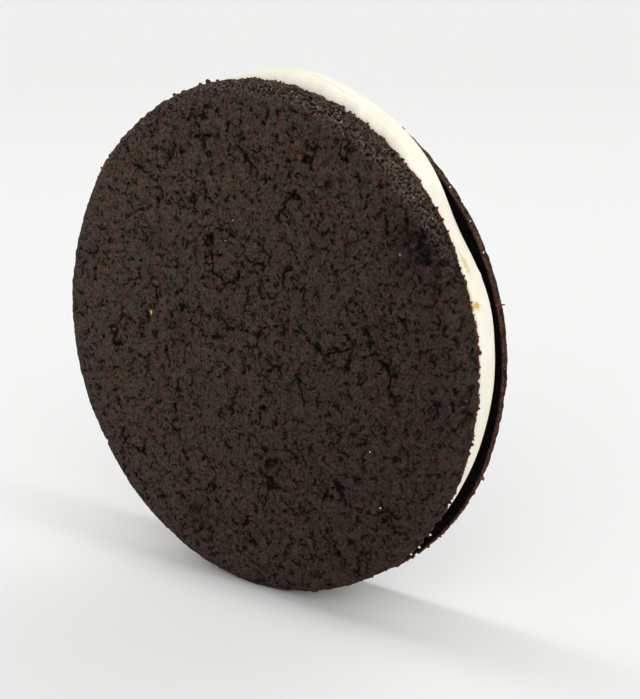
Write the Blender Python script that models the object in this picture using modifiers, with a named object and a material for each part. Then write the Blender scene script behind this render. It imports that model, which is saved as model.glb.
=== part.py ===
"""Chocolate sandwich cookie, standing on its rim.

Two round cocoa wafers hold a disc of vanilla cream. The cookie's axis lies along Y and the front
wafer's baked face looks towards -Y. The floor is Z = 0: each wafer's rim rests on it with a small
flat spot, and the origin is the middle of the cookie's bounding box on the floor. Units are metres.
"""

import math
import random

import bpy
from mathutils import Matrix

MM = 0.001

# The wafers, each with its flat base against the cream. The back one baked a little smaller, and
# its edge slopes off sooner.
SEGMENTS = 80
BASE_CORNER = 0.4 * MM  # small rounding between a wafer's base and its cut wall
CROWN = 0.35 * MM  # how far the baked face falls between its middle and its shoulder
FACE_RINGS = 5
SHOULDER_STEPS = 5

FRONT_RADIUS = 45.0 * MM
FRONT_THICKNESS = 5.0 * MM
FRONT_WALL = 1.6 * MM  # height of the upright cut wall above the base
FRONT_SHOULDER = 3.5 * MM  # how far in from the rim the rounded shoulder reaches

BACK_RADIUS = 44.5 * MM
BACK_THICKNESS = 4.8 * MM
BACK_WALL = 0.6 * MM
BACK_SHOULDER = 4.5 * MM

WAFER_SHIFT = 0.6 * MM  # the wafers sit this far out of line, half to each side of the middle
RIM_WAVE = 0.16 * MM  # size of the wafers' uneven outline
RIM_ORDERS = (2, 3, 5, 8, 13)
FLAT_SPOT = 10.0 * MM  # length of the flat spot that each rim rests on

# Shallow hollows baked into the outer faces.
DENTS = 14
DENT_DEPTH = 0.30 * MM
DENT_WIDTH = 7.0 * MM

# The cream: a disc pressed up out of line, proud of the wafers at the top and shy of them below.
FILLING_SPACE = 6.4 * MM  # from one wafer's base to the other's
CREAM_GAP = 0.3 * MM  # left free between the cream and each wafer
CREAM_RADIUS = 44.6 * MM
CREAM_LIFT = 2.1 * MM
CREAM_SIDE_SHIFT = 0.4 * MM
CREAM_WAVE = 0.12 * MM
CREAM_ORDERS = (4, 7, 11)
CREAM_STEPS = 12

# The cream's edge bulges. Places across it run from -1 at the back to 1 at the front.
CREST_AT = 0.2
FRONT_FALL = 1.1 * MM
BACK_FALL = 3.0 * MM
GROOVE_AT = 0.55  # the line left by the spatula
GROOVE_WIDTH = 0.13
GROOVE_DEPTH = 0.30 * MM

# Swells (+) and hollows (-) of the cream's outline: angle from +X in degrees, height, spread in degrees.
CREAM_SWELLS = ((30, -2.1 * MM, 12), (77, 0.6 * MM, 9), (100, -0.7 * MM, 8))

TOTAL_THICKNESS = FRONT_THICKNESS + FILLING_SPACE + BACK_THICKNESS
FRONT_BASE_Y = -TOTAL_THICKNESS / 2 + FRONT_THICKNESS
BACK_BASE_Y = TOTAL_THICKNESS / 2 - BACK_THICKNESS
DOWN = math.radians(-90)  # the angle round the axis at which a rim meets the floor
FLOOR_REACH = math.radians(20)  # the rim runs true this far round from there

TO_FRONT = math.radians(90)  # turns about X that stand a disc up with its top to the front or back
TO_BACK = math.radians(-90)

WAFER_COLOUR = (50, 41, 37)
CREAM_COLOUR = (246, 241, 224)


def clear_scene():
    for obj in list(bpy.data.objects):
        bpy.data.objects.remove(obj, do_unlink=True)


def linear(level):
    """One sRGB level, 0 to 255, as a linear value."""
    share = level / 255
    return share / 12.92 if share <= 0.04045 else ((share + 0.055) / 1.055) ** 2.4


def make_material(name, colour, roughness):
    material = bpy.data.materials.new(name)
    material.use_nodes = True
    shader = material.node_tree.nodes["Principled BSDF"]
    shader.inputs["Base Color"].default_value = (*[linear(level) for level in colour], 1.0)
    shader.inputs["Roughness"].default_value = roughness
    shader.inputs["Metallic"].default_value = 0.0
    return material


def bump(angle, centre, spread):
    """1 at the centre angle, falling to 0 over the spread on both sides of it. All in radians."""
    turn = math.remainder(angle - centre, 2 * math.pi)
    return math.exp(-((turn / spread) ** 2))


def waves(seed, size, orders):
    """A smooth closed wave round the rim: the sum of a few sines with seeded phases."""
    rng = random.Random(seed)
    terms = [(order, size / math.sqrt(order), rng.uniform(0, 2 * math.pi)) for order in orders]

    def height(angle):
        return sum(share * math.sin(order * angle + phase) for order, share, phase in terms)

    return height


def wafer_outline(seed):
    """How far the wafer's rim stands out at each angle: uneven, but true where it meets the floor."""
    wave = waves(seed, RIM_WAVE, RIM_ORDERS)
    return lambda angle: wave(angle) * (1 - bump(angle, DOWN, FLOOR_REACH))


def cream_outline(seed):
    """How far the cream's edge stands out at each angle: its swells and hollows, and a small wave."""
    wave = waves(seed, CREAM_WAVE, CREAM_ORDERS)

    def height(angle):
        swells = sum(
            rise * bump(angle, math.radians(centre), math.radians(spread))
            for centre, rise, spread in CREAM_SWELLS
        )
        return swells + wave(angle)

    return height


def wafer_profile(radius, thickness, wall, shoulder):
    """Half a wafer's section, from the middle of its baked face, over the rim, to the base's middle."""
    rise = thickness - CROWN - wall
    face_edge = radius - shoulder
    points = []
    for ring in range(FACE_RINGS + 1):
        out = ring / FACE_RINGS
        points.append((face_edge * out, thickness - CROWN * out**3))
    for step in range(1, SHOULDER_STEPS + 1):
        turn = math.pi / 2 * step / SHOULDER_STEPS
        points.append((face_edge + shoulder * math.sin(turn), wall + rise * math.cos(turn)))
    points.append((radius, BASE_CORNER))
    points.append((radius - BASE_CORNER, 0.0))
    points.append((face_edge / 2, 0.0))
    points.append((0.0, 0.0))
    return points


def cream_profile():
    """Half the cream's section: flat sides, and a bulging edge with the spatula's groove in it."""
    half = FILLING_SPACE / 2 - CREAM_GAP
    points = [(0.0, half), (CREAM_RADIUS / 2, half)]
    for step in range(CREAM_STEPS + 1):
        across = 1 - 2 * step / CREAM_STEPS
        if across > CREST_AT:
            fall = FRONT_FALL * ((across - CREST_AT) / (1 - CREST_AT)) ** 2
        else:
            fall = BACK_FALL * ((CREST_AT - across) / (1 + CREST_AT)) ** 2
        groove = GROOVE_DEPTH * math.exp(-(((across - GROOVE_AT) / GROOVE_WIDTH) ** 2))
        points.append((CREAM_RADIUS - fall - groove, half * across))
    points.append((CREAM_RADIUS / 2, -half))
    points.append((0.0, -half))
    return points


def turned(name, profile):
    """A solid of revolution round its own Z: the profile with a Screw modifier, made a mesh."""
    outline = bpy.data.meshes.new(name + "_profile")
    edges = [(index, index + 1) for index in range(len(profile) - 1)]
    outline.from_pydata([(radius, 0.0, height) for radius, height in profile], edges, [])
    lathe = bpy.data.objects.new(name + "_lathe", outline)
    bpy.context.scene.collection.objects.link(lathe)
    screw = lathe.modifiers.new("turn", "SCREW")
    screw.axis = "Z"
    screw.angle = 2 * math.pi
    screw.steps = SEGMENTS
    screw.render_steps = SEGMENTS
    screw.use_merge_vertices = True
    screw.merge_threshold = 0.00001
    shown = lathe.evaluated_get(bpy.context.evaluated_depsgraph_get())
    mesh = bpy.data.meshes.new_from_object(shown)
    mesh.name = name
    bpy.data.objects.remove(lathe, do_unlink=True)
    return bpy.data.objects.new(name, mesh)


def press_dents(mesh, seed, radius, thickness):
    """Shallow round hollows at seeded places on the baked face."""
    rng = random.Random(seed)
    hollows = []
    for _ in range(DENTS):
        reach = 0.85 * radius * math.sqrt(rng.random())
        angle = rng.uniform(0, 2 * math.pi)
        depth = DENT_DEPTH * rng.uniform(0.3, 1.0)
        hollows.append((reach * math.cos(angle), reach * math.sin(angle), depth))
    for vertex in mesh.vertices:
        if vertex.co.z < thickness - 2 * CROWN:
            continue
        for x, y, depth in hollows:
            distance = math.hypot(vertex.co.x - x, vertex.co.y - y)
            vertex.co.z -= depth * math.exp(-((distance / DENT_WIDTH) ** 2))


def stand_up(mesh, turn):
    """Turn a disc about X so that its axis lies along Y and angles are counted from +X towards +Z."""
    mesh.transform(Matrix.Rotation(turn, 4, "X"))


def make_uneven(mesh, outline, radius):
    """Move a standing disc's points out or in by the outline, most at the rim."""
    for vertex in mesh.vertices:
        reach = math.hypot(vertex.co.x, vertex.co.z)
        if reach < radius / 2:
            continue
        share = (reach / radius) ** 8
        stretch = 1 + outline(math.atan2(vertex.co.z, vertex.co.x)) * share / reach
        vertex.co.x *= stretch
        vertex.co.z *= stretch


def axis_height(radius):
    """The height of a wafer's axis when it rests on its flat spot."""
    return math.sqrt(radius**2 - (FLAT_SPOT / 2) ** 2)


def finish(obj, parent, location, material, collection):
    obj.parent = parent
    obj.location = location
    obj.data.materials.append(material)
    obj.data.shade_smooth()
    obj.data.set_sharp_from_angle(angle=math.radians(50))
    collection.objects.link(obj)


def make_wafer(name, radius, thickness, wall, shoulder, turn, seed):
    wafer = turned(name, wafer_profile(radius, thickness, wall, shoulder))
    press_dents(wafer.data, seed, radius, thickness)
    stand_up(wafer.data, turn)
    make_uneven(wafer.data, wafer_outline(seed + 1), radius)
    return wafer


def make_cream(name, seed):
    cream = turned(name, cream_profile())
    stand_up(cream.data, TO_FRONT)
    make_uneven(cream.data, cream_outline(seed), CREAM_RADIUS)
    return cream


def floor_cutter(collection):
    """A block that fills everything just under the floor."""
    bpy.ops.mesh.primitive_cube_add(size=1.0)
    block = bpy.context.active_object
    block.name = "floor_cutter"
    side = 2 * FRONT_RADIUS
    block.data.transform(Matrix.Diagonal((side, side, side, 1.0)))
    block.location = (0.0, 0.0, -side / 2)
    block.hide_render = True
    block.display_type = "WIRE"
    for home in list(block.users_collection):
        home.objects.unlink(block)
    collection.objects.link(block)
    return block


def cut_flat_spot(obj, cutter):
    cut = obj.modifiers.new("flat_spot", "BOOLEAN")
    cut.operation = "DIFFERENCE"
    cut.solver = "EXACT"
    cut.object = cutter


def build():
    clear_scene()
    cookie = bpy.data.collections.new("chocolate_sandwich_cookie")
    cutters = bpy.data.collections.new("cutters")
    bpy.context.scene.collection.children.link(cookie)
    bpy.context.scene.collection.children.link(cutters)
    wafer_finish = make_material("baked_cocoa_wafer", WAFER_COLOUR, 0.85)
    cream_finish = make_material("vanilla_cream", CREAM_COLOUR, 0.45)

    holder = bpy.data.objects.new("cookie", None)
    cookie.objects.link(holder)

    front = make_wafer(
        "front_wafer", FRONT_RADIUS, FRONT_THICKNESS, FRONT_WALL, FRONT_SHOULDER, TO_FRONT, 11
    )
    front_place = (-WAFER_SHIFT / 2, FRONT_BASE_Y, axis_height(FRONT_RADIUS))
    finish(front, holder, front_place, wafer_finish, cookie)

    back = make_wafer("back_wafer", BACK_RADIUS, BACK_THICKNESS, BACK_WALL, BACK_SHOULDER, TO_BACK, 23)
    back_place = (WAFER_SHIFT / 2, BACK_BASE_Y, axis_height(BACK_RADIUS))
    finish(back, holder, back_place, wafer_finish, cookie)

    cream = make_cream("cream_filling", 37)
    cream_y = (FRONT_BASE_Y + BACK_BASE_Y) / 2
    cream_place = (CREAM_SIDE_SHIFT, cream_y, axis_height(FRONT_RADIUS) + CREAM_LIFT)
    finish(cream, holder, cream_place, cream_finish, cookie)

    cutter = floor_cutter(cutters)
    for wafer in (front, back):
        cut_flat_spot(wafer, cutter)


build()
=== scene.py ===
# %% [markdown]
# # A chocolate sandwich cookie, standing on its rim
#
# Two large cocoa wafers hold a disc of vanilla cream. The cookie stands on edge: its axis lies along Y,
# and the front wafer's baked face looks towards -Y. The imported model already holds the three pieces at
# their true size and place. This lesson makes the fine surface of each one over it: the cracks and
# pores of the baked dough, the crumbly rims, the cream's spatula marks, and the loose crumbs.
# Blender works in metres, so a size of 2.6 mm is written 2.6 * MM.

# %% Load the fixed frame
import bisect
import math
import random

import bmesh
import bpy
from mathutils import Matrix, Vector, noise


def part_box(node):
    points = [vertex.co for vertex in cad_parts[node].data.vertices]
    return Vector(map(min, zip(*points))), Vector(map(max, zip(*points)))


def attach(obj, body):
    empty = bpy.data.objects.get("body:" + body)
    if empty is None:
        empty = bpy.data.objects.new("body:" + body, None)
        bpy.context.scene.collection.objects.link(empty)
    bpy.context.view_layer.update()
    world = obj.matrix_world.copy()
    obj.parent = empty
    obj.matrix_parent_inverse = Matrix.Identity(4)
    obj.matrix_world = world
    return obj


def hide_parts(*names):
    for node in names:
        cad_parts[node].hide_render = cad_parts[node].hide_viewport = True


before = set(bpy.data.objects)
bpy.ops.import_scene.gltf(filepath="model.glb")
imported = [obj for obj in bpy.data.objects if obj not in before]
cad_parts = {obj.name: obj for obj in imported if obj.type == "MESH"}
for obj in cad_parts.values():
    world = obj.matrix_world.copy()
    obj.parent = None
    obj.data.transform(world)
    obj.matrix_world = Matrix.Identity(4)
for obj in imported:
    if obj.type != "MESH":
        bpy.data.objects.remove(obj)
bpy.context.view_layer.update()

MM = 0.001

# %% [markdown]
# ## The sizes that everything follows from
#
# A wafer is a turned shape: a baked face that is nearly flat, a rounded shoulder, a short upright wall
# and a flat base against the cream. The frame gives the height of each base along Y. The radii and the
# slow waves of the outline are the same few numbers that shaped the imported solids, so the detailed
# pieces lie exactly over them.

# %% Sizes of the wafers and the cream
FLAT_SPOT = 10.0 * MM  # length of the flat spot that each rim rests on
CROWN = 0.35 * MM  # how far the baked face falls between its middle and its shoulder
BASE_CORNER = 0.4 * MM  # the slant between the wall and the base
DOWN = math.radians(-90)  # the angle round the axis at which a rim meets the floor
FLOOR_REACH = math.radians(20)

FRONT = {
    "name": "front_wafer",
    "radius": 45.0 * MM,
    "thickness": 5.0 * MM,
    "wall": 1.6 * MM,
    "shoulder": 3.5 * MM,
    "middle_x": -0.3 * MM,
    "base_y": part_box("front_wafer")[1].y,
    "turn": math.radians(90),
    "seed": 11,
    "skirt": 1.8 * MM,  # how far the dough crept out over its tray on one side
    "torn": 1.0,  # how red its torn edge shows, from 0 to 1
    "gap_shade": 0.0,  # how far past its base corner the painted shade of the gap against the cream reaches
}
BACK = {
    "name": "back_wafer",
    "radius": 44.5 * MM,
    "thickness": 4.8 * MM,
    "wall": 0.6 * MM,
    "shoulder": 4.5 * MM,
    "middle_x": 0.3 * MM,
    "base_y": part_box("back_wafer")[0].y,
    "turn": math.radians(-90),
    "seed": 23,
    "skirt": 0.0,
    "torn": 0.4,
    "gap_shade": 0.30 * MM,
}
for wafer in (FRONT, BACK):
    wafer["middle_z"] = math.sqrt(wafer["radius"] ** 2 - (FLAT_SPOT / 2) ** 2)
    print(wafer["name"], "base at y =", round(wafer["base_y"] / MM, 2), "mm")


# %% [markdown]
# ## Slow shapes: waves of the outline and hollows in the face
#
# No cookie is a true circle. A sum of a few sines round the rim gives the outline, and it dies out
# where the rim meets the floor so that the cookie still stands. Round hollows, pressed into the dough
# by the tray or left by air, are bell shapes taken off the baked face.

# %% Outline waves and hollows
def bell(distance, spread):
    """1 at distance 0, falling smoothly to 0 past the spread."""
    return math.exp(-((distance / spread) ** 2))


def turn_between(angle, centre):
    """The angle between two directions, the short way round."""
    return math.remainder(angle - centre, 2 * math.pi)


def waves(seed, size, orders):
    """A smooth closed wave round the rim: the sum of a few sines with seeded phases."""
    rng = random.Random(seed)
    terms = [(order, size / math.sqrt(order), rng.uniform(0, 2 * math.pi)) for order in orders]
    return lambda angle: sum(share * math.sin(order * angle + phase) for order, share, phase in terms)


def wafer_outline(seed):
    wave = waves(seed, 0.16 * MM, (2, 3, 5, 8, 13))
    return lambda angle: wave(angle) * (1 - bell(turn_between(angle, DOWN), FLOOR_REACH))


def seeded_hollows(seed, radius):
    """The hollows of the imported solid's face: (across, up, depth, spread) from the wafer's middle."""
    rng = random.Random(seed)
    hollows = []
    for _ in range(14):
        reach = 0.85 * radius * math.sqrt(rng.random())
        angle = rng.uniform(0, 2 * math.pi)
        depth = 0.30 * MM * rng.uniform(0.3, 1.0)
        hollows.append((reach * math.cos(angle), reach * math.sin(angle), depth, 7.0 * MM))
    return hollows


PRESSED = (  # hollows in the front face: across, up, depth, spread
    (36.6 * MM, 21.0 * MM, 0.9 * MM, 5.0 * MM),  # where a thumb pinched the cookie
    (-21.7 * MM, 16.0 * MM, 0.45 * MM, 2.3 * MM),
    (-16.1 * MM, 0.3 * MM, 0.40 * MM, 2.6 * MM),
    (41.0 * MM, 16.5 * MM, 0.5 * MM, 2.8 * MM),
    (37.0 * MM, 27.5 * MM, 0.4 * MM, 2.2 * MM),
    (5.7 * MM, -21.3 * MM, 0.40 * MM, 2.8 * MM),
    (-12.2 * MM, -33.8 * MM, 0.50 * MM, 3.2 * MM),
)


# %% [markdown]
# ## Three small helpers
#
# A node tree is easier to read when each node is one call: its kind, what goes into its sockets, and
# its settings. Colours are written as a painter's hex values, which shaders need as linear numbers.
# And a bmesh has to become an object that rides on the frame.

# %% Add a node, read a colour, finish a piece
def add(tree, kind, inputs=None, **settings):
    """Add a node with its settings. An input is a plain value, or another node's output to link from."""
    node = tree.nodes.new(kind)
    for name, value in settings.items():
        setattr(node, name, value)
    for socket, value in (inputs or {}).items():
        if isinstance(value, bpy.types.NodeSocket):
            tree.links.new(value, node.inputs[socket])
        else:
            node.inputs[socket].default_value = value
    return node


def linear(colour):
    """An sRGB colour such as #3B302A as the linear values that shaders work in."""
    levels = [int(colour[start : start + 2], 16) / 255 for start in (1, 3, 5)]
    return (*[v / 12.92 if v <= 0.04045 else ((v + 0.055) / 1.055) ** 2.4 for v in levels], 1.0)


def piece_from(bm, name, material):
    """Turn a finished bmesh into an object at the origin that moves with the cookie."""
    mesh = bpy.data.meshes.new(name)
    bm.to_mesh(mesh)
    bm.free()
    mesh.materials.append(material)
    mesh.shade_smooth()
    piece = bpy.data.objects.new(name, mesh)
    bpy.context.scene.collection.objects.link(piece)
    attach(piece, "root")
    return piece


# %% [markdown]
# ## The baked dough as a pattern in space
#
# A cocoa wafer dries from its surface while it bakes, and the skin splits into small islands. Crumbs
# of dough leave pores between them. Voronoi cells are a good stand-in: the walls between the cells are
# the cracks, and a dot in the middle of some cells is a pore. Noise bends the straight walls and fades
# them out, so that only broken lengths of crack are left.
#
# The same pattern is needed twice, as relief in the mesh and as colour in the material. Geometry
# Nodes and shaders share these nodes, so one function can build the pattern in either tree. Both read
# the same place, in millimetres, stored on the mesh before any relief.

# %% Cracks, pores and lumps
ISLAND = 5.0  # mm, the islands between the long cracks
CRACK_WIDTH = 0.40  # mm, at half its depth
CRACK_PATCH = 6.0  # mm, the size of a patch in which the cracks have opened
CHIP = 1.8  # mm, the small islands
CHIP_WIDTH = 0.38
CHIP_PATCH = 1.9
PORE = 0.75  # mm, the spacing of pores
PORE_SHARE = 0.34  # the share of those places that has a pore
PORE_SIZE = 0.62  # mm, the widest pore
GRAIN = 0.38  # mm, single crumbs of the dough
DRIFT = 1.2  # mm, the size of the bends in a crack
BEND = 1.5  # mm, twice how far a bend can go aside
OPEN_FROM = 0.54  # the noise level over which a crack is open, a little over the mean of 0.5


def broken_cracks(tree, place, island, width, patch, gate):
    """1 on the cracks round islands, 0 beside them. They open where a cloudy noise is over the gate."""
    cells = {"Vector": place, "Scale": 1 / island}
    walls = add(tree, "ShaderNodeTexVoronoi", cells, feature="DISTANCE_TO_EDGE")
    line = add(tree, "ShaderNodeMapRange", {
        "Value": walls.outputs["Distance"], "From Min": 0.0, "From Max": width / island,
        "To Min": 1.0, "To Max": 0.0,
    }, interpolation_type="SMOOTHSTEP")
    cloud = add(tree, "ShaderNodeTexNoise", {
        "Vector": place, "Scale": 1 / patch, "Detail": 4.0, "Roughness": 0.7,
    })
    opened = add(tree, "ShaderNodeMapRange", {
        "Value": cloud.outputs[0], "From Min": gate, "From Max": gate + 0.05,
    })
    broken = add(tree, "ShaderNodeMath", {0: line.outputs[0], 1: opened.outputs[0]}, operation="MULTIPLY")
    return broken.outputs[0]


def dots(tree, place, spacing, share, size):
    """1 inside a dot in a share of the cells, 0 outside. The dots are up to size across, in mm."""
    cells = add(tree, "ShaderNodeTexVoronoi", {"Vector": place, "Scale": 1 / spacing})
    chance = add(tree, "ShaderNodeSeparateXYZ", {0: cells.outputs["Color"]})
    reach = add(tree, "ShaderNodeMapRange", {
        "Value": chance.outputs[0], "From Min": 1 - share, "From Max": 1.0,
        "To Min": 0.001, "To Max": size / 2 / spacing,
    })
    return add(tree, "ShaderNodeMapRange", {
        "Value": cells.outputs["Distance"], "From Min": 0.0, "From Max": reach.outputs[0],
        "To Min": 1.0, "To Max": 0.0,
    }, interpolation_type="SMOOTHSTEP").outputs[0]


def dough_pattern(tree, place, widening):
    """The long cracks, the chips' cracks and the pores. Widening draws them wider than they are."""
    drift = add(tree, "ShaderNodeTexNoise", {"Vector": place, "Scale": 1 / DRIFT, "Detail": 2.0})
    centring = {0: drift.outputs["Color"], 1: (0.5, 0.5, 0.5)}  # the noise's mean in each channel
    centred = add(tree, "ShaderNodeVectorMath", centring, operation="SUBTRACT")
    bend = add(tree, "ShaderNodeVectorMath", {0: centred.outputs[0], "Scale": BEND}, operation="SCALE")
    bent = add(tree, "ShaderNodeVectorMath", {0: place, 1: bend.outputs[0]}, operation="ADD").outputs[0]
    return {
        "cracks": broken_cracks(tree, bent, ISLAND, CRACK_WIDTH * widening, CRACK_PATCH, OPEN_FROM),
        "chips": broken_cracks(tree, bent, CHIP, CHIP_WIDTH * widening, CHIP_PATCH, OPEN_FROM),
        "pores": dots(tree, bent, PORE, PORE_SHARE, PORE_SIZE * widening),
    }


# %% [markdown]
# ## Relief made with Geometry Nodes
#
# The pattern's heights push the mesh along its normals: cracks and pores go in, lumps stand out. Near
# the cut edge the dough crumbles, so noise there is stronger and makes the rim ragged. The cracks are
# drawn wider than they are, because the mesh's points stand about 0.3 mm apart.

# %% The relief's node tree
RELIEF_WIDENING = 1.2
CRACK_DEPTH = 0.45  # mm
CHIP_DEPTH = 0.28
PORE_DEPTH = 0.22
LUMP = 1.7  # mm, the size of a lump
LUMP_HEIGHT = 1.5  # mm, the full range of the noise; most lumps stay within a fifth of it
GRAIN_HEIGHT = 0.35
SHOULDER_CALM = 0.4  # the share of the lumps' height that is left on the shoulder
RAG = 1.5  # mm, the size of the bites out of the torn edge
RAG_HEIGHT = 1.2
SKIN_DEPTH = 0.12  # mm, how far the skin lies under the smooth shape, so that the lumps reach it
LIP = 0.20  # mm, how far the torn edge stands out


def relief_tree():
    tree = bpy.data.node_groups.new("dough_relief", "GeometryNodeTree")
    tree.interface.new_socket("Geometry", in_out="INPUT", socket_type="NodeSocketGeometry")
    tree.interface.new_socket("Geometry", in_out="OUTPUT", socket_type="NodeSocketGeometry")
    smooth = add(tree, "NodeGroupInput").outputs[0]
    marks = {
        name: add(tree, "GeometryNodeInputNamedAttribute", {"Name": name}, data_type=kind).outputs[0]
        for name, kind in (("dough_place", "FLOAT_VECTOR"), ("rim", "FLOAT"), ("shoulder", "FLOAT"))
    }
    place = marks["dough_place"]
    masks = dough_pattern(tree, place, RELIEF_WIDENING)
    layers = [  # what shows in the pattern or the noise, and how far it stands out in mm
        (masks["cracks"], -CRACK_DEPTH),
        (masks["chips"], -CHIP_DEPTH),
        (masks["pores"], -PORE_DEPTH),
        (marks["rim"], LIP),
    ]
    calming = {"Value": marks["shoulder"], "To Min": 1.0, "To Max": SHOULDER_CALM}
    calm = add(tree, "ShaderNodeMapRange", calming)
    for size, detail, mean, where, rise in (
        (LUMP, 2.0, 0.5, calm.outputs[0], LUMP_HEIGHT),
        (GRAIN, 2.0, 0.5, calm.outputs[0], GRAIN_HEIGHT),
        (RAG, 4.0, 0.52, marks["rim"], RAG_HEIGHT),
    ):
        bumps = add(tree, "ShaderNodeTexNoise", {"Vector": place, "Scale": 1 / size, "Detail": detail})
        level = add(tree, "ShaderNodeMath", {0: bumps.outputs[0], 1: mean}, operation="SUBTRACT")
        level = add(tree, "ShaderNodeMath", {0: level.outputs[0], 1: where}, operation="MULTIPLY")
        layers.append((level.outputs[0], rise))
    height = -SKIN_DEPTH
    for layer, rise in layers:
        level = add(tree, "ShaderNodeMath", {0: layer, 1: rise, 2: height}, operation="MULTIPLY_ADD")
        height = level.outputs[0]
    metres = add(tree, "ShaderNodeMath", {0: height, 1: MM}, operation="MULTIPLY")
    outward = add(tree, "GeometryNodeInputNormal").outputs[0]
    offset = add(tree, "ShaderNodeVectorMath", {0: outward, "Scale": metres.outputs[0]}, operation="SCALE")
    moved = add(tree, "GeometryNodeSetPosition", {"Geometry": smooth, "Offset": offset.outputs[0]})
    add(tree, "NodeGroupOutput", {0: moved.outputs[0]})
    return tree


dough_relief = relief_tree()
print("relief tree has", len(dough_relief.nodes), "nodes")

# %% [markdown]
# ## The finish of the baked cocoa dough
#
# Cocoa dough is a dark, dry crumb bound with fat: a rough, almost black brown, redder where the crumb is
# torn open. A Principled shader fits, with a low specular level because a porous surface has little clear
# skin to reflect, so the faint grey sheen on its skin is painted into the base colour. Its colour is built
# up in layers, each laid over the last one by a Mix node: patches of grey, red and olive brown, one to
# five millimetres wide, with painted shade in the gaps between the crumbs and painted light on their tops;
# then cracks and pores, dark because hardly any light comes back out of them, and painted shade in the
# pressed hollows and over the face towards its lower right, with single grains of sugar and bran that stay
# pale; and last the edge, which is gritty on its shoulder with painted glints where light falls from
# above, reddish where it is torn, and painted dark on the base, where the gap against the cream lies in
# shade.

# %% Soft patches
def patches_of(tree, place, size, low, high, detail=2.0):
    """Soft patches of about size mm: 0 where the noise is under low, 1 where it is over high."""
    cloud = add(tree, "ShaderNodeTexNoise", {"Vector": place, "Scale": 1 / size, "Detail": detail})
    levels = {"Value": cloud.outputs[0], "From Min": low, "From Max": high}
    return add(tree, "ShaderNodeMapRange", levels).outputs[0]


# %% The colours of the skin
# The skin's grey brown holds a painted grey sheen over the dough's own brown.
SHEENED_SKIN = "#433B35"
SKIN_PATCHES = (  # size in mm, noise level where a patch starts and is full, detail, colour
    (2.2, 0.42, 0.62, 4.0, "#47352D"),  # red brown
    (4.5, 0.48, 0.64, 2.0, "#403A32"),  # olive brown
    (0.9, 0.55, 0.70, 4.0, "#5C3024"),  # ruddy crumb
)
SPECKS = (  # spacing in mm, share of the places that hold one, size in mm, colour
    (1.3, 0.12, 0.45, "#86583A"),  # bran
    (4.2, 0.05, 0.60, "#D8BE92"),  # sugar
)


def skin_colour(tree, place, crumb):
    """Patches of brown with a painted grey sheen, painted shade in the gaps between the crumbs and painted
    light on their tops, with specks.
    """
    layers = [(patches_of(tree, place, *patch), stain) for *patch, stain in SKIN_PATCHES]
    colour = linear(SHEENED_SKIN)
    for share, stain in layers:
        laid = {0: share, 6: colour, 7: linear(stain)}
        colour = add(tree, "ShaderNodeMix", laid, data_type="RGBA").outputs[2]
    # Painted shade in the low gaps between the crumbs, painted light on their raised tops.
    shaded_gaps = add(tree, "ShaderNodeMix", {0: 0.42, 6: colour, 7: linear("#0D0605")}, data_type="RGBA")
    lit_tops = add(tree, "ShaderNodeMix", {0: 0.12, 6: colour, 7: linear("#75695E")}, data_type="RGBA")
    laid = {0: crumb, 6: shaded_gaps.outputs[2], 7: lit_tops.outputs[2]}
    colour = add(tree, "ShaderNodeMix", laid, data_type="RGBA").outputs[2]
    for spacing, share, size, stain in SPECKS:
        laid = {0: dots(tree, place, spacing, share, size), 6: colour, 7: linear(stain)}
        colour = add(tree, "ShaderNodeMix", laid, data_type="RGBA").outputs[2]
    return colour


# %% Painted shade in the openings, the hollows and towards the lower right
# Painted shade in the cracks, chips, splits, pores and pinholes.
OPENING_SHADE = {"splits": 1.0, "pinholes": 0.8, "chips": 0.97, "pores": 0.95, "cracks": 1.0}
HOLLOW_SHADE = 0.8
# Painted shade that darkens the face towards its lower right.
SHADED_TOWARDS = (0.75 / 45, 0.0, -0.45 / 45)  # right and down; 45 mm is a wafer's radius
SHADE_FROM = -1.25  # where the darkening starts along that way, and where it is full
SHADE_TO = 0.55
SIDE_SHADE_STRENGTH = 0.52


def darkened(tree, place, colour, openings, hollow):
    """The colour with painted shade in the openings and hollows, and painted shade towards the face's
    lower right.
    """
    for name, strength in OPENING_SHADE.items():
        share = add(tree, "ShaderNodeMath", {0: openings[name], 1: strength}, operation="MULTIPLY")
        laid = {0: share.outputs[0], 6: colour, 7: linear("#060202")}
        colour = add(tree, "ShaderNodeMix", laid, data_type="RGBA").outputs[2]
    # Painted shade in the pressed hollows, broken into uneven patches.
    uneven = patches_of(tree, place, 1.3, 0.30, 0.58, 3.0)
    sunk = add(tree, "ShaderNodeMath", {0: hollow, 1: uneven}, operation="MULTIPLY")
    sunk = add(tree, "ShaderNodeMath", {0: sunk.outputs[0], 1: HOLLOW_SHADE}, operation="MULTIPLY")
    # Painted shade growing towards the face's lower right.
    slope = add(tree, "ShaderNodeVectorMath", {0: place, 1: SHADED_TOWARDS}, operation="DOT_PRODUCT")
    lower_right_shade = add(tree, "ShaderNodeMapRange", {
        "Value": slope.outputs["Value"], "From Min": SHADE_FROM, "From Max": SHADE_TO,
        "To Min": 0.0, "To Max": SIDE_SHADE_STRENGTH,
    })
    for share, stain in ((sunk, "#0C0605"), (lower_right_shade, "#0A0505")):
        laid = {0: share.outputs[0], 6: colour, 7: linear(stain)}
        colour = add(tree, "ShaderNodeMix", laid, data_type="RGBA").outputs[2]
    return colour


# %% The gritty shoulder, the torn edge and the damp base
LIT_FROM = 58.0  # mm above the floor: below this the shoulder hardly shows its grit and painted glints, which stand for light falling from above
LIT_TO = 75.0


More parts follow.
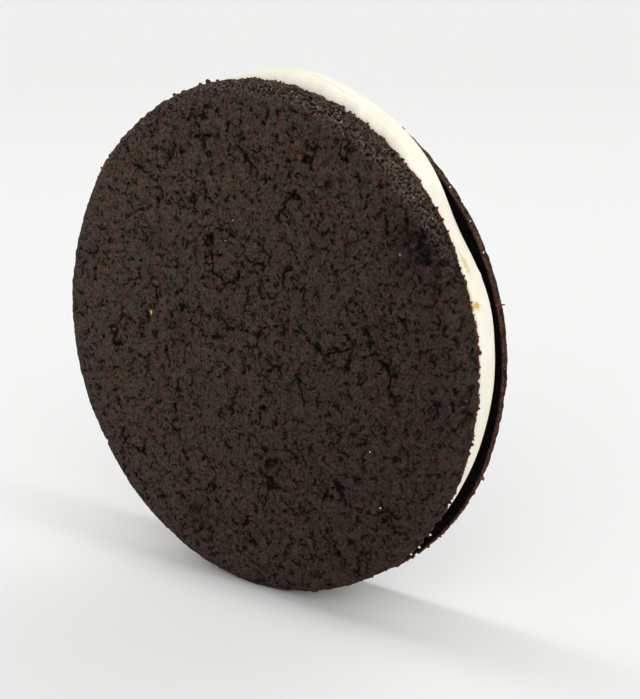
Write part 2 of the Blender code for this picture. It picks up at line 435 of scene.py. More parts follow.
def edge_colour(tree, place, colour, marks):
    """The colour with grit and painted glints on the shoulder, strongest where light falls from above, a
    reddish torn edge and painted shade on the base.
    """
    # The shoulder's grit, with pale dots as painted glints.
    gritty = patches_of(tree, place, 0.46, 0.43, 0.60, 6.0)
    laid = {0: gritty, 6: linear("#060302"), 7: linear("#5A4D44")}
    grit = add(tree, "ShaderNodeMix", laid, data_type="RGBA").outputs[2]
    laid = {0: dots(tree, place, 0.48, 0.30, 0.42), 6: grit, 7: linear("#C4BAAC")}
    grit = add(tree, "ShaderNodeMix", laid, data_type="RGBA").outputs[2]
    # Painted light from above: the grit and glints show more the higher the shoulder lies.
    rise = add(tree, "ShaderNodeSeparateXYZ", {0: place}).outputs["Z"]
    lit_from_above = add(tree, "ShaderNodeMapRange", {
        "Value": rise, "From Min": LIT_FROM, "From Max": LIT_TO, "To Min": 0.10, "To Max": 0.85,
    })
    lit_shoulder = {0: marks["shoulder"], 1: lit_from_above.outputs[0]}
    on_shoulder = add(tree, "ShaderNodeMath", lit_shoulder, operation="MULTIPLY").outputs[0]
    reddish = patches_of(tree, place, 0.4, 0.36, 0.56, 3.0)
    laid = {0: reddish, 6: linear("#35170C"), 7: linear("#8E532E")}
    torn = add(tree, "ShaderNodeMix", laid, data_type="RGBA").outputs[2]
    # The base's near black is painted shade from the narrow gap against the cream.
    for share, stain in ((on_shoulder, grit), (marks["torn"], torn), (marks["base"], linear("#050202"))):
        colour = add(tree, "ShaderNodeMix", {0: share, 6: colour, 7: stain}, data_type="RGBA").outputs[2]
    return colour


# %% Baked cocoa dough
BUMPS = {"cracks": 0.25, "chips": 0.2, "pores": 0.2, "splits": 0.1}  # depths in mm
CRUMB_BUMP = 0.13  # mm


def baked_cocoa_dough():
    material = bpy.data.materials.new("baked_cocoa_dough")
    material.use_nodes = True
    tree = material.node_tree
    shader = tree.nodes["Principled BSDF"]
    place = add(tree, "ShaderNodeAttribute", attribute_name="dough_place").outputs["Vector"]
    marks = {
        name: add(tree, "ShaderNodeAttribute", attribute_name=name).outputs["Fac"]
        for name in ("torn", "shoulder", "hollow", "base")
    }
    crumb = patches_of(tree, place, 0.45, 0.36, 0.62, 4.0)
    openings = dough_pattern(tree, place, 1.0)
    openings["splits"] = broken_cracks(tree, place, 1.0, 0.28, 1.3, 0.545)
    openings["pinholes"] = dots(tree, place, 0.55, 0.20, 0.40)
    colour = skin_colour(tree, place, crumb)
    colour = darkened(tree, place, colour, openings, marks["hollow"])
    colour = edge_colour(tree, place, colour, marks)
    tree.links.new(colour, shader.inputs["Base Color"])
    rough = add(tree, "ShaderNodeMapRange", {"Value": crumb, "To Min": 0.9, "To Max": 0.6})
    tree.links.new(rough.outputs[0], shader.inputs["Roughness"])
    shader.inputs["IOR"].default_value = 1.45
    shader.inputs["Specular IOR Level"].default_value = 0.06

    height = add(tree, "ShaderNodeMath", {0: crumb, 1: CRUMB_BUMP}, operation="MULTIPLY").outputs[0]
    for name, depth in BUMPS.items():
        lowered = {0: openings[name], 1: -depth, 2: height}
        height = add(tree, "ShaderNodeMath", lowered, operation="MULTIPLY_ADD").outputs[0]
    bump = add(tree, "ShaderNodeBump", {"Height": height, "Distance": MM, "Strength": 1.0})
    tree.links.new(bump.outputs[0], shader.inputs["Normal"])
    return material


cocoa_dough = baked_cocoa_dough()
print("baked cocoa dough has", len(cocoa_dough.node_tree.nodes), "nodes")

# %% [markdown]
# ## A wafer from a square grid
#
# A turned mesh crowds its points in the middle of the face and thins them at the rim. A square grid
# keeps them even, so the relief is equally fine everywhere. Each square ring of the grid becomes a
# circle: its distance from the centre says how far to walk along the wafer's section, over the face,
# round the shoulder and down the wall. The grid's edge is then extruded inwards as the flat base.

# %% Walk along a wafer's section
FACE_STEPS = 40
SHOULDER_STEPS = 24


def section_walk(wafer):
    """A function from a distance along the section to (out from the axis, height above the base)."""
    face_edge = wafer["radius"] - wafer["shoulder"]
    rise = wafer["thickness"] - CROWN - wafer["wall"]
    chain = []
    for step in range(FACE_STEPS + 1):
        share = step / FACE_STEPS
        chain.append((face_edge * share, wafer["thickness"] - CROWN * share**3))
    for step in range(1, SHOULDER_STEPS + 1):
        turn = math.pi / 2 * step / SHOULDER_STEPS
        out = face_edge + wafer["shoulder"] * math.sin(turn)
        chain.append((out, wafer["wall"] + rise * math.cos(turn)))
    chain.append((wafer["radius"], BASE_CORNER))
    chain.append((wafer["radius"] - BASE_CORNER, 0.0))
    walked = [0.0]
    for before, after in zip(chain, chain[1:]):
        walked.append(walked[-1] + math.dist(before, after))

    def at(distance):
        index = min(max(bisect.bisect(walked, distance), 1), len(chain) - 1)
        share = (distance - walked[index - 1]) / (walked[index] - walked[index - 1])
        (out, height), (next_out, next_height) = chain[index - 1], chain[index]
        return out + (next_out - out) * share, height + (next_height - height) * share

    return at, walked[-1]


# %% Lay out a wafer
GRID = 280  # squares along each side of the grid: a point about every 0.3 mm
FINER_RIM = 1.15  # over 1, the rings lie closer together towards the rim
BASE_RINGS = 8
BASE_STEP = 0.25 * MM  # the first ring's width; each one after is as much wider


def ring_turn(across, up):
    """The angle that spreads the points of a square ring evenly round a circle."""
    if abs(across) >= abs(up):
        return (0 if across > 0 else math.pi) + math.pi / 4 * up / across if across else 0.0
    return math.copysign(math.pi / 2, up) - math.pi / 4 * across / up


def wafer_disc(wafer):
    """The wafer lying on its base, smooth, with each point's distance along the section."""
    at, length = section_walk(wafer)
    bm = bmesh.new()
    along = bm.verts.layers.float.new("along")
    bmesh.ops.create_grid(bm, x_segments=GRID, y_segments=GRID, size=1.0)
    for vert in bm.verts:
        across, up = vert.co.x, vert.co.y
        turn = ring_turn(across, up)
        vert[along] = length * (1 - (1 - max(abs(across), abs(up))) ** FINER_RIM)
        out, height = at(vert[along])
        vert.co = (out * math.cos(turn), out * math.sin(turn), height)
    ring = [edge for edge in bm.edges if edge.is_boundary]
    for step in range(1, BASE_RINGS + 1):
        grown = bmesh.ops.extrude_edge_only(bm, edges=ring)["geom"]
        inner = [item for item in grown if isinstance(item, bmesh.types.BMVert)]
        ring = [edge for edge in grown if isinstance(edge, bmesh.types.BMEdge) and edge.is_boundary]
        inwards = BASE_STEP * step * (step + 1) / 2
        out = wafer["radius"] - BASE_CORNER - inwards
        for vert in inner:
            vert.co = Vector((vert.co.x, vert.co.y, 0.0)).normalized() * out
            vert[along] = length + inwards
    floor = bmesh.ops.contextual_create(bm, geom=ring)["faces"]
    bmesh.ops.triangulate(bm, faces=floor)
    bmesh.ops.recalc_face_normals(bm, faces=bm.faces)
    return bm, length


# %% Press the hollows and stand the wafer up
DARK_FROM = 0.65 * MM  # a hollow as deep as this gets full painted shade in its middle
SKIRT_AT = math.radians(147)  # the middle of the side where the dough crept out
SKIRT_SPREAD = math.radians(27)
SKIRT_WIDTH = 0.7 * MM  # how far up the wall the skirt reaches


def press_hollows(bm, wafer, pressed):
    """Take the hollows off the face. The mark "hollow" keeps how far in each point was pressed, which sets
    the painted shade there.
    """
    sunk = bm.verts.layers.float.new("hollow")
    for vert in bm.verts:
        if vert.co.z > wafer["thickness"] - 2 * CROWN:
            for across, up, depth, spread in seeded_hollows(wafer["seed"], wafer["radius"]):
                vert.co.z -= depth * bell(math.hypot(vert.co.x - across, vert.co.y - up), spread)
        if vert.co.z > wafer["wall"]:
            for across, up, depth, spread in pressed:
                share = bell(math.hypot(vert.co.x - across, vert.co.y - up), spread)
                vert.co.z -= depth * share
                vert[sunk] += share * depth / DARK_FROM


def stand_wafer(bm, wafer, length):
    """Turn the disc upright, give it its uneven outline, and put it in its place."""
    bmesh.ops.rotate(bm, verts=bm.verts, cent=(0, 0, 0), matrix=Matrix.Rotation(wafer["turn"], 3, "X"))
    outline = wafer_outline(wafer["seed"] + 1)
    along = bm.verts.layers.float["along"]
    for vert in bm.verts:
        reach = math.hypot(vert.co.x, vert.co.z)
        if reach > wafer["radius"] / 2:
            angle = math.atan2(vert.co.z, vert.co.x)
            push = outline(angle) * (reach / wafer["radius"]) ** 8
            crept = wafer["skirt"] * bell(turn_between(angle, SKIRT_AT), SKIRT_SPREAD)
            push += crept * bell(vert[along] - length + BASE_CORNER, SKIRT_WIDTH)
            stretch = 1 + push / reach
            vert.co.x *= stretch
            vert.co.z *= stretch
    bmesh.ops.translate(bm, verts=bm.verts, vec=(wafer["middle_x"], wafer["base_y"], wafer["middle_z"]))


# %% [markdown]
# ## Marks that the pattern reads
#
# The mesh carries marks from point to point. "dough_place" is the point's place in millimetres before any
# relief, and "hollow" is how deep it was pressed, which sets the painted shade in the hollows. "rim" is 1
# on the edge next to the base, and "torn" is how red the crumb shows there. "shoulder" grows over the last
# few millimetres before the rim. "base" is 1 on the flat side against the cream, which gets painted shade
# because the gap there lies in shadow. The relief is then read back from the modifier as a plain mesh, so
# that nothing live is left on the piece.

# %% Mark a wafer
RIM_REACH = 0.28 * MM
SHOULDER_REACH = 6.4 * MM  # how far from the base the shoulder's grit starts
SHOULDER_FADE = 1.8 * MM
BASE_FADE = 0.25 * MM


def mark_dough(bm, wafer, length):
    along = bm.verts.layers.float["along"]
    place = bm.verts.layers.float_vector.new("dough_place")
    rim = bm.verts.layers.float.new("rim")
    torn = bm.verts.layers.float.new("torn")
    shoulder = bm.verts.layers.float.new("shoulder")
    base = bm.verts.layers.float.new("base")
    for vert in bm.verts:
        vert[place] = vert.co / MM
        vert[rim] = bell(vert[along] - length + BASE_CORNER, RIM_REACH)
        angle = math.atan2(vert.co.z - wafer["middle_z"], vert.co.x - wafer["middle_x"])
        crept = wafer["skirt"] * bell(turn_between(angle, SKIRT_AT), SKIRT_SPREAD)
        vert[torn] = wafer["torn"] * bell(vert[along] - length + BASE_CORNER, RIM_REACH + crept / 2)
        grown = (vert[along] - length + SHOULDER_REACH) / SHOULDER_FADE
        vert[shoulder] = min(max(grown, 0.0), 1.0)
        in_gap_shade = (vert[along] - length + wafer["gap_shade"]) / BASE_FADE
        vert[base] = min(max(in_gap_shade, 0.0), 1.0)


# %% Bake both wafers
def baked_wafer(wafer, pressed, name):
    bm, length = wafer_disc(wafer)
    press_hollows(bm, wafer, pressed)
    stand_wafer(bm, wafer, length)
    mark_dough(bm, wafer, length)
    smooth = piece_from(bm, name + "_smooth", cocoa_dough)
    relief = smooth.modifiers.new("relief", "NODES")
    relief.node_group = dough_relief
    shown = smooth.evaluated_get(bpy.context.evaluated_depsgraph_get())
    rough = bmesh.new()
    rough.from_mesh(shown.data)
    bpy.data.objects.remove(smooth, do_unlink=True)
    for vert in rough.verts:
        vert.co.z = max(vert.co.z, 0.0)
    piece = piece_from(rough, name, cocoa_dough)
    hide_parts(wafer["name"])
    triangles = sum(len(face.vertices) - 2 for face in piece.data.polygons)
    print(name, "has", triangles, "triangles")
    return piece


front_wafer = baked_wafer(FRONT, PRESSED, "front_wafer_baked")
back_wafer = baked_wafer(BACK, (), "back_wafer_baked")

# %% [markdown]
# ## The cream
#
# The filling is a firm vanilla cream, pressed between the wafers and smoothed round its edge with a
# palette knife. It is another turned shape, so half its section is spun about the cookie's axis. The
# edge bulges a little forward of its middle, and it was pressed up out of line with the wafers.

# %% The cream's section and outline
CREAM_RADIUS = 44.6 * MM
CREAM_MIDDLE = Vector((0.4 * MM, (FRONT["base_y"] + BACK["base_y"]) / 2, FRONT["middle_z"] + 2.1 * MM))
CREAM_HALF = (BACK["base_y"] - FRONT["base_y"]) / 2
CREST_AT = 0.2  # across the edge, from -1 at the back wafer to 1 at the front wafer
FRONT_FALL = 0.45 * MM  # how much nearer the axis the edge is at the front wafer than at its crest
BACK_FALL = 3.0 * MM
CREAM_SWELLS = (  # degrees round the axis, how far the cream stands out, spread in degrees
    (30, -2.1 * MM, 12),
    (77, 0.6 * MM, 9),
    (100, -0.7 * MM, 8),
    (114, -0.7 * MM, 11),
)
cream_wave = waves(37, 0.12 * MM, (4, 7, 11))


def cream_outline(angle):
    swells = sum(
        rise * bell(turn_between(angle, math.radians(centre)), math.radians(spread))
        for centre, rise, spread in CREAM_SWELLS
    )
    return swells + cream_wave(angle)


def cream_edge(across):
    """The smooth edge's distance from the axis at a place across it."""
    if across > CREST_AT:
        return CREAM_RADIUS - FRONT_FALL * ((across - CREST_AT) / (1 - CREST_AT)) ** 2
    return CREAM_RADIUS - BACK_FALL * ((CREST_AT - across) / (1 + CREST_AT)) ** 2


# %% Marks of the palette knife
KNIFE_LINES = (  # height, or depth if negative, where across and how wide, where in degrees and how long
    (-0.36 * MM, 0.42, 0.045, 66.0, 20.0),  # the long groove
    (-0.25 * MM, 0.66, 0.05, 58.0, 16.0),  # a shorter groove nearer the front
    (0.30 * MM, 0.57, 0.08, 66.0, 20.0),  # the ridge that rose between them
    (0.35 * MM, 0.1, 0.3, 19.0, 0.9),  # a flick where the knife was lifted
)
STREAKS = (16.0, 7.0, 3.1, 0.07 * MM)  # length in mm, streaks across, slice of the noise, height
SOFT_WAVES = (7.0, 1.6, 8.4, 0.12 * MM)
SCRATCHES = (1.0, 11.0, 1.7, 0.32 * MM)
SCRATCHED_AT = 0.86  # the scratches lie in a band close to the front wafer
SCRATCHED_WIDTH = 0.16


def knife_noise(around, across, length, times, cut, height):
    return noise.noise(Vector((around / length, across * times, cut))) * height


def knife_marks(angle, across):
    """How far the knife's marks push the edge out (+) or in (-), in metres."""
    degrees = math.degrees(angle)
    around = angle * CREAM_RADIUS / MM
    marks = knife_noise(around, across, *STREAKS) + knife_noise(around, across, *SOFT_WAVES)
    for height, middle, width, centre, spread in KNIFE_LINES:
        marks += height * bell(across - middle, width) * bell(degrees - centre, spread)
    scratched = bell(across - SCRATCHED_AT, SCRATCHED_WIDTH) * (0.35 + 0.65 * bell(degrees - 62, 28))
    return marks + knife_noise(around, across, *SCRATCHES) * scratched


# %% [markdown]
# ## The finish of the vanilla cream
#
# Sugar and fat beaten together scatter light inside, so the cream is a warm white with soft shadows.
# Subsurface scattering gives that, with a short reach because the cream is dense. Fat has come out in
# a few greasy yellow smears, and specks of vanilla lie in it. Each one is a place on the edge, and the
# distance from it decides the colour.

# %% Whipped vanilla cream
def on_cream(degrees, across):
    """The point of the cream's edge at an angle round the axis and a place across it."""
    angle = math.radians(degrees)
    out = cream_edge(across) + cream_outline(angle)
    return CREAM_MIDDLE + Vector((out * math.cos(angle), -across * CREAM_HALF, out * math.sin(angle)))


SMEAR_RAGS = 0.7  # mm, the size of the ragged edge of a smear
SMEARS = (  # degrees, across, half width in mm, how many times as long, colour, strength
    (21.5, 0.66, 0.80, 3.8, "#C6BB74", 0.85),
    (13.0, 0.88, 0.85, 1.2, "#C3A63E", 1.0),
    (7.0, 0.2, 0.5, 1.2, "#E2D6B0", 0.8),
    (83.0, 0.1, 0.40, 1.0, "#E0D070", 0.9),
    (82.0, 0.72, 0.40, 1.0, "#E0CE68", 0.9),
    (70.8, 0.1, 0.35, 1.0, "#E2D47E", 0.85),
    (64.6, 0.1, 0.40, 1.0, "#E6DC9C", 0.75),
)


def whipped_vanilla_cream():
    material = bpy.data.materials.new("whipped_vanilla_cream")
    material.use_nodes = True
    tree = material.node_tree
    shader = tree.nodes["Principled BSDF"]
    metres = add(tree, "ShaderNodeTexCoord").outputs["Object"]
    place = add(tree, "ShaderNodeVectorMath", {0: metres, "Scale": 1 / MM}, operation="SCALE").outputs[0]
    richer = patches_of(tree, place, 5.0, 0.35, 0.65)
    laid = {0: richer, 6: linear("#E7E4D8"), 7: linear("#E3DFCE")}
    colour = add(tree, "ShaderNodeMix", laid, data_type="RGBA").outputs[2]
    ragged = add(tree, "ShaderNodeTexNoise", {"Vector": place, "Scale": 1 / SMEAR_RAGS, "Detail": 3.0})
    wobble = add(tree, "ShaderNodeMath", {0: ragged.outputs[0], 1: 0.5}, operation="SUBTRACT").outputs[0]
    for degrees, across, size, longer, stain, strength in SMEARS:
        oval = add(tree, "ShaderNodeMapping", {
            "Vector": place, "Location": on_cream(degrees, across) / MM,
            "Rotation": (0.0, -math.radians(degrees), 0.0), "Scale": (size, size, size * longer),
        }, vector_type="TEXTURE")
        away = add(tree, "ShaderNodeVectorMath", {0: oval.outputs[0]}, operation="LENGTH").outputs["Value"]
        away = add(tree, "ShaderNodeMath", {0: wobble, 1: 1.6, 2: away}, operation="MULTIPLY_ADD")
        share = add(tree, "ShaderNodeMapRange", {
            "Value": away.outputs[0], "From Min": 0.2, "From Max": 1.1, "To Min": strength, "To Max": 0.0,
        }, interpolation_type="SMOOTHSTEP")
        laid = {0: share.outputs[0], 6: colour, 7: linear(stain)}
        colour = add(tree, "ShaderNodeMix", laid, data_type="RGBA").outputs[2]
    tree.links.new(colour, shader.inputs["Base Color"])
    shader.inputs["Roughness"].default_value = 0.45
    shader.inputs["IOR"].default_value = 1.46
    shader.inputs["Specular IOR Level"].default_value = 0.4
    shader.inputs["Subsurface Weight"].default_value = 0.5
    shader.inputs["Subsurface Radius"].default_value = (1.0, 0.7, 0.4)
    shader.inputs["Subsurface Scale"].default_value = 1.5 * MM
    grit = add(tree, "ShaderNodeTexNoise", {"Vector": place, "Scale": 1 / 0.35, "Detail": 2.0})
    bump = add(tree, "ShaderNodeBump", {"Height": grit.outputs[0], "Distance": 0.04 * MM, "Strength": 1.0})
    tree.links.new(bump.outputs[0], shader.inputs["Normal"])
    return material


vanilla_cream = whipped_vanilla_cream()
print("whipped vanilla cream has", len(vanilla_cream.node_tree.nodes), "nodes")

# %% Spin the cream
CREAM_TURNS = 720
CREAM_STEPS = 56


def cream_disc():
    bm = bmesh.new()
    half = [(0.0, 1.0), (CREAM_RADIUS * 0.8, 1.0), (CREAM_RADIUS * 0.93, 1.0)]  # out, across
    for step in range(CREAM_STEPS + 1):
        across = 1 - 2 * step / CREAM_STEPS
        half.append((cream_edge(across), across))
    half += [(CREAM_RADIUS * 0.85, -1.0), (0.0, -1.0)]
    chain = [bm.verts.new((out, -across * CREAM_HALF, 0.0)) for out, across in half]
    edges = [bm.edges.new(pair) for pair in zip(chain, chain[1:])]
    bmesh.ops.spin(
        bm, geom=chain + edges, cent=(0, 0, 0), axis=(0, 1, 0), angle=2 * math.pi,
        steps=CREAM_TURNS, use_merge=True,
    )
    bmesh.ops.remove_doubles(bm, verts=bm.verts, dist=0.001 * MM)
    bmesh.ops.recalc_face_normals(bm, faces=bm.faces)
    for vert in bm.verts:
        reach = math.hypot(vert.co.x, vert.co.z)
        if reach < CREAM_RADIUS / 2:
            continue
        angle = math.atan2(vert.co.z, vert.co.x)
        push = cream_outline(angle) * (reach / CREAM_RADIUS) ** 8
        if reach > CREAM_RADIUS - BACK_FALL - 0.1 * MM:
            push += knife_marks(angle, -vert.co.y / CREAM_HALF)
        vert.co.x *= 1 + push / reach
        vert.co.z *= 1 + push / reach
    bmesh.ops.translate(bm, verts=bm.verts, vec=CREAM_MIDDLE)
    return bm


cream = piece_from(cream_disc(), "cream_layer", vanilla_cream)
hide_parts("cream_filling")
print("cream has", sum(len(face.vertices) - 2 for face in cream.data.polygons), "triangles")

# %% [markdown]
# ## Loose crumbs
#
# The torn edges shed crumbs, and some of them stick. A crumb is an icosphere of only a few faces,
# knocked out of shape. Each is set on the nearest point of its wafer and sinks in by about a third, so
# that none hangs in the air. All crumbs of one kind are one mesh.

# %% Set a crumb on a surface
rng = random.Random(5)
KNOCK = 0.13  # how far a corner is knocked aside, as a share of the crumb's size


def stick(bm, point, normal, size, longer=1.0, sunk=0.3):
    """Set a crumb of about this size on a point of a surface, by default sunk by a third."""
    turned = normal.to_track_quat("Z", "Y").to_matrix().to_4x4()
    middle = Matrix.Translation(point + normal * size * (longer / 2 - sunk))
    shape = Matrix.Diagonal((size / 2, size / 2 * rng.uniform(0.7, 1.2), size / 2 * longer, 1.0))
    crumb = bmesh.ops.create_icosphere(bm, subdivisions=1, radius=1.0, matrix=middle @ turned @ shape)
    for vert in crumb["verts"]:
        vert.co += Vector(rng.uniform(-1, 1) for _ in range(3)) * size * KNOCK
        vert.co.z = max(vert.co.z, 0.0)


# %% Find a place on a rim or on the face
bpy.context.view_layer.update()  # so that the new wafers can be searched
PIECES = {FRONT["name"]: (front_wafer, 1), BACK["name"]: (back_wafer, -1)}


def on_rim(wafer, degrees, out, back):
    """The point and normal of a wafer's torn edge at an angle, seen from out and back in mm off it."""
    angle = math.radians(degrees)
    piece, facing = PIECES[wafer["name"]]
    outward = Vector((math.cos(angle), 0.0, math.sin(angle)))
    middle = Vector((wafer["middle_x"], wafer["base_y"] - facing * back * MM, wafer["middle_z"]))
    _, point, normal, _ = piece.closest_point_on_mesh(middle + outward * (wafer["radius"] + out * MM))
    return point, (normal * 0.4 + outward).normalized()


def on_face(across, up):
    """The point and normal of the front wafer's baked face at a place given in mm from its middle."""
    middle = Vector((FRONT["middle_x"], FRONT["base_y"], FRONT["middle_z"]))
    ahead = middle + Vector((across, -20.0, up)) * MM
    _, point, normal, _ = front_wafer.ray_cast(ahead, Vector((0.0, 1.0, 0.0)))
    return point, normal


# %% Toasted cocoa crumbs along the rims
def toasted_crumb():
    material = bpy.data.materials.new("toasted_cocoa_crumb")
    material.use_nodes = True
    tree = material.node_tree
    shader = tree.nodes["Principled BSDF"]
    metres = add(tree, "ShaderNodeTexCoord").outputs["Object"]
    place = add(tree, "ShaderNodeVectorMath", {0: metres, "Scale": 1 / MM}, operation="SCALE").outputs[0]
    tones = {0: patches_of(tree, place, 0.8, 0.35, 0.65), 6: linear("#2A120A"), 7: linear("#6B3D25")}
    colour = add(tree, "ShaderNodeMix", tones, data_type="RGBA").outputs[2]
    tree.links.new(colour, shader.inputs["Base Color"])
    shader.inputs["Roughness"].default_value = 0.8
    shader.inputs["Specular IOR Level"].default_value = 0.15
    return material


SMALL_CRUMBS = 260  # on each wafer
BIG_CRUMBS = (  # wafer, degrees, size in mm, how many times as tall as wide
    (FRONT, 145.2, 0.5, 2.6), (FRONT, 143.0, 0.45, 2.0), (FRONT, 147.6, 0.55, 1.2),
    (FRONT, 104.0, 1.1, 0.9), (FRONT, 106.2, 0.8, 0.9), (FRONT, 101.6, 0.7, 0.8),
    (FRONT, 112.0, 0.8, 0.7), (FRONT, 115.0, 0.7, 0.8), (FRONT, -74.4, 1.2, 0.8),
    (BACK, 57.8, 1.0, 0.8), (BACK, 60.6, 0.8, 0.8), (BACK, 14.8, 0.4, 4.2), (BACK, 16.0, 0.9, 1.0),
    (BACK, 4.6, 0.9, 0.9), (BACK, -24.0, 0.9, 1.3), (BACK, -28.5, 0.8, 0.9),
)
bm = bmesh.new()
for wafer in (FRONT, BACK):
    for _ in range(SMALL_CRUMBS):
        point, normal = on_rim(wafer, rng.uniform(-90, 270), 0.3, rng.uniform(-0.3, 0.6))
        stick(bm, point, normal, (0.15 + 0.4 * rng.random() ** 2) * MM, 1.0, 0.42)
for wafer, degrees, size, longer in BIG_CRUMBS:
    point, normal = on_rim(wafer, degrees, 1.5, 0.3)
    stick(bm, point, normal, size * MM, longer)
rim_crumbs = piece_from(bm, "cocoa_crumbs", toasted_crumb())
print("cocoa crumbs have", len(rim_crumbs.data.polygons), "triangles")

# %% Flecks of cream on the rims and the face
CREAM_CRUMBS = (  # wafer, degrees, size in mm
    (FRONT, -37.4, 0.5), (FRONT, -41.5, 0.45), (FRONT, -44.4, 0.4), (FRONT, -51.3, 0.45),
    (FRONT, -53.0, 0.35), (BACK, -36.2, 0.5), (BACK, -37.4, 0.4), (BACK, -41.6, 0.4),
    (BACK, -43.0, 0.35), (BACK, 41.7, 0.3), (BACK, 33.3, 0.25), (BACK, 26.1, 0.3), (FRONT, 103.0, 0.4),
)
FACE_CRUMBS = (  # across, up and size in mm, how many times as tall as wide
    (-2.4, 21.4, 0.3, 0.6), (-3.8, 17.8, 0.2, 0.6), (26.9, -13.9, 0.35, 0.6), (29.1, -23.1, 0.45, 0.6),
    (32.0, 19.4, 0.25, 0.6),
)
bm = bmesh.new()
for wafer, degrees, size in CREAM_CRUMBS:
    point, normal = on_rim(wafer, degrees, 1.0, 0.0)
    stick(bm, point, normal, size * MM)
for across, up, size, longer in FACE_CRUMBS:
    point, normal = on_face(across, up)
    stick(bm, point, normal, size * MM, longer)
cream_crumbs = piece_from(bm, "cream_crumbs", vanilla_cream)
print("cream crumbs have", len(cream_crumbs.data.polygons), "triangles")


# %% One flake of bran
def bran():
    material = bpy.data.materials.new("toasted_bran_flake")
    material.use_nodes = True
    shader = material.node_tree.nodes["Principled BSDF"]
    shader.inputs["Base Color"].default_value = linear("#B98A3E")
    shader.inputs["Roughness"].default_value = 0.6
    return material


bm = bmesh.new()
point, normal = on_face(-22.3, 2.8)
flake = Matrix.Translation(point) @ Matrix.Diagonal((0.25 * MM, 0.12 * MM, 0.65 * MM, 1.0))
bmesh.ops.create_icosphere(bm, subdivisions=2, radius=1.0, matrix=flake)
bran_flake = piece_from(bm, "bran_flake", bran())
print("bran flake has", len(bran_flake.data.polygons), "triangles")

# %% [markdown]
# ## Floor, light and camera
#
# The cookie stands on a plain pale sheet. In a studio it would be lit by a long softbox overhead and a
# big one beside the camera, with white walls round it. Lamps close by would make the far end of the
# sheet dark, so the softboxes are painted on the sky instead, as soft lobes round their directions.
# The long softbox lies along the cookie's face, which leaves a thin soft line of shadow under it.

# %% The sheet
SHEET_NEAR = 0.15  # metres from the cookie, where painted shade starts to grey the paper
SHEET_FAR = 1.2


def pale_paper():
    material = bpy.data.materials.new("pale_matt_paper")
    material.use_nodes = True
    tree = material.node_tree
    shader = tree.nodes["Principled BSDF"]
    place = add(tree, "ShaderNodeTexCoord").outputs["Object"]
    away = add(tree, "ShaderNodeVectorMath", {0: place}, operation="LENGTH").outputs["Value"]
    # Painted shade: the paper turns greyer away from the cookie.
    far = add(tree, "ShaderNodeMapRange", {"Value": away, "From Min": SHEET_NEAR, "From Max": SHEET_FAR})
    laid = {0: far.outputs[0], 6: linear("#E9E9E8"), 7: linear("#E1E1E0")}
    colour = add(tree, "ShaderNodeMix", laid, data_type="RGBA").outputs[2]
    tree.links.new(colour, shader.inputs["Base Color"])
    shader.inputs["Roughness"].default_value = 0.9
    shader.inputs["Specular IOR Level"].default_value = 0.0
    return material


bm = bmesh.new()
bmesh.ops.create_grid(bm, x_segments=1, y_segments=1, size=20.0)  # 40 m wide, past every view's edge
sheet_mesh = bpy.data.meshes.new("sheet")
bm.to_mesh(sheet_mesh)
bm.free()
sheet_mesh.materials.append(pale_paper())
sheet = bpy.data.objects.new("sheet", sheet_mesh)
bpy.context.scene.collection.objects.link(sheet)
print("sheet has", len(sheet.data.polygons), "face")

# %% The soft lights
SOFTBOXES = (  # turn round the cookie from its front and rise, in degrees, strength, sharpness
    (40, 15, 3.2, 3.5),  # beside the camera
    (270, 15, 1.0, 4.0),  # the wall on the left
    (180, 15, 1.9, 4.0),  # the wall behind
)
STRIP_STRENGTH = 7.6  # the long softbox overhead
STRIP_WIDTH = 0.073  # as a share of the sky's radius, along Y
STRIP_BEHIND = 0.04  # how far behind the cookie it hangs, in the same share
sky = bpy.data.worlds.new("soft_sky")
sky.use_nodes = True
tree = sky.node_tree
look = add(tree, "ShaderNodeTexCoord").outputs["Generated"]
parts = add(tree, "ShaderNodeSeparateXYZ", {0: look})


def towards(turn, rise):
    """The direction from the cookie at a turn round it from its front, and a rise above the floor."""
    turn, rise = math.radians(turn), math.radians(rise)
    return Vector((math.sin(turn) * math.cos(rise), -math.cos(turn) * math.cos(rise), math.sin(rise)))


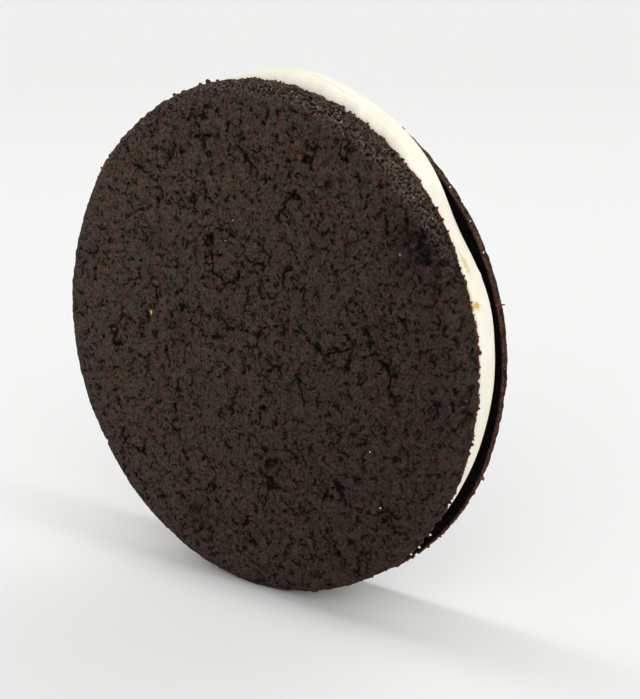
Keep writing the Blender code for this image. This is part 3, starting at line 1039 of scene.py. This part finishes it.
aside = add(tree, "ShaderNodeMath", {0: parts.outputs["Y"], 1: STRIP_BEHIND}, operation="SUBTRACT")
square = add(tree, "ShaderNodeMath", {0: aside.outputs[0], 1: 2.0}, operation="POWER")
scaled = add(tree, "ShaderNodeMath", {0: square.outputs[0], 1: -1 / STRIP_WIDTH**2}, operation="MULTIPLY")
strip = add(tree, "ShaderNodeMath", {0: scaled.outputs[0]}, operation="EXPONENT")
above = add(tree, "ShaderNodeMath", {0: parts.outputs["Z"], 1: 0.0}, operation="MAXIMUM")
rising = add(tree, "ShaderNodeMath", {0: above.outputs[0], 1: 2.0}, operation="POWER")
overhead = add(tree, "ShaderNodeMath", {0: strip.outputs[0], 1: rising.outputs[0]}, operation="MULTIPLY")
light = add(tree, "ShaderNodeMath", {0: overhead.outputs[0], 1: STRIP_STRENGTH}, operation="MULTIPLY")
for turn, rise, strength, sharpness in SOFTBOXES:
    facing = add(tree, "ShaderNodeVectorMath", {0: look, 1: towards(turn, rise)}, operation="DOT_PRODUCT")
    ahead = add(tree, "ShaderNodeMath", {0: facing.outputs["Value"], 1: 0.0}, operation="MAXIMUM")
    lobe = add(tree, "ShaderNodeMath", {0: ahead.outputs[0], 1: sharpness}, operation="POWER")
    added = {0: lobe.outputs[0], 1: strength, 2: light.outputs[0]}
    light = add(tree, "ShaderNodeMath", added, operation="MULTIPLY_ADD")
tree.links.new(light.outputs[0], tree.nodes["Background"].inputs["Strength"])
tree.nodes["Background"].inputs["Color"].default_value = (1.0, 1.0, 1.0, 1.0)
bpy.context.scene.world = sky
print("soft sky has", len(tree.nodes), "nodes")
bpy.context.scene.view_settings.view_transform = "Standard"

# %% The camera
CAMERA_TURN = 39.95  # degrees round the cookie from its front
CAMERA_RISE = 13.66
CAMERA_REACH = 262.6 * MM  # from the middle of the cookie
AIM_TURN = -1.79  # how far the camera looks past the cookie's middle, in degrees
AIM_RISE = 0.55
camera = bpy.data.objects.new("camera", bpy.data.cameras.new("camera"))
camera.data.lens = 76.9
camera.data.sensor_width = 36.0
camera.location = towards(CAMERA_TURN, CAMERA_RISE) * CAMERA_REACH + Vector((0.0, 0.0, FRONT["radius"]))
tilt, turn = math.radians(90 - CAMERA_RISE - AIM_RISE), math.radians(CAMERA_TURN + AIM_TURN)
camera.rotation_euler = (tilt, 0.0, turn)
camera.data.clip_start = 0.01
camera.data.clip_end = 100.0
bpy.context.scene.collection.objects.link(camera)
bpy.context.scene.camera = camera
print("camera stands at", [round(value / MM) for value in camera.location], "mm")
